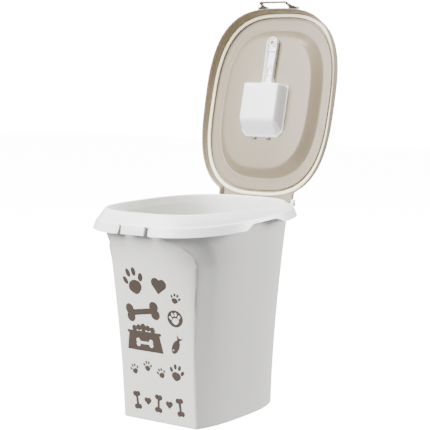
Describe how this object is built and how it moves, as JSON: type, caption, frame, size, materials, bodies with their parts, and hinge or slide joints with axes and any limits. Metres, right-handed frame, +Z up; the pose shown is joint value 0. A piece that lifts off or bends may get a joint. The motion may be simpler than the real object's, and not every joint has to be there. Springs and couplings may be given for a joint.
{
  "type": "pet food bin",
  "caption": "Tapered plastic pet food bin with a push-fit collar, rear-hinged sealing lid, front latch loop and a scoop clipped inside the lid.",
  "frame": {"origin": "middle of the flat base the bin stands on", "axes": "+Z up, -Y towards the front panel and latch, +X to the right seen from the front"},
  "size_m": [0.339, 0.5355, 0.8456],
  "materials": {
    "bucket_plastic": "satin moulded polypropylene, warm off-white",
    "collar_plastic": "satin moulded polypropylene, white",
    "lid_plastic": "glossy moulded polypropylene, taupe",
    "latch_plastic": "glossy moulded polypropylene, taupe",
    "scoop_plastic": "smooth moulded polypropylene, white",
    "seal": "soft matt thermoplastic rubber, cream",
    "ink": "printed dark brown-grey ink",
    "pin_plastic": "moulded acetal"
  },
  "bodies": {
    "bin": {"bucket": "bucket_plastic", "front_print": "ink", "collar": "collar_plastic", "hinge_pin_left": "pin_plastic", "hinge_pin_right": "pin_plastic"},
    "lid": {"lid_shell": "lid_plastic", "lid_gasket": "seal", "latch_pin_left": "pin_plastic", "latch_pin_right": "pin_plastic"},
    "latch": {"latch_loop": "latch_plastic"},
    "scoop": {"scoop": "scoop_plastic"}
  },
  "joints": [
    {"name": "lid_hinge", "type": "hinge", "parent": "bin", "child": "lid", "pos_m": [0, 0.20944, 0.42288], "axis": [1, 0, 0], "range_deg": [0, 104.13]},
    {"name": "latch_pivot", "type": "hinge", "parent": "lid", "child": "latch", "pos_m": [0, 0.29971, 0.83217], "axis": [1, 0, 0], "range_deg": [-75, 10]},
    {"name": "scoop_release", "type": "slide", "parent": "lid", "child": "scoop", "axis": [0, -0.9697, 0.2441], "range_m": [0, 0.12]}
  ]
}
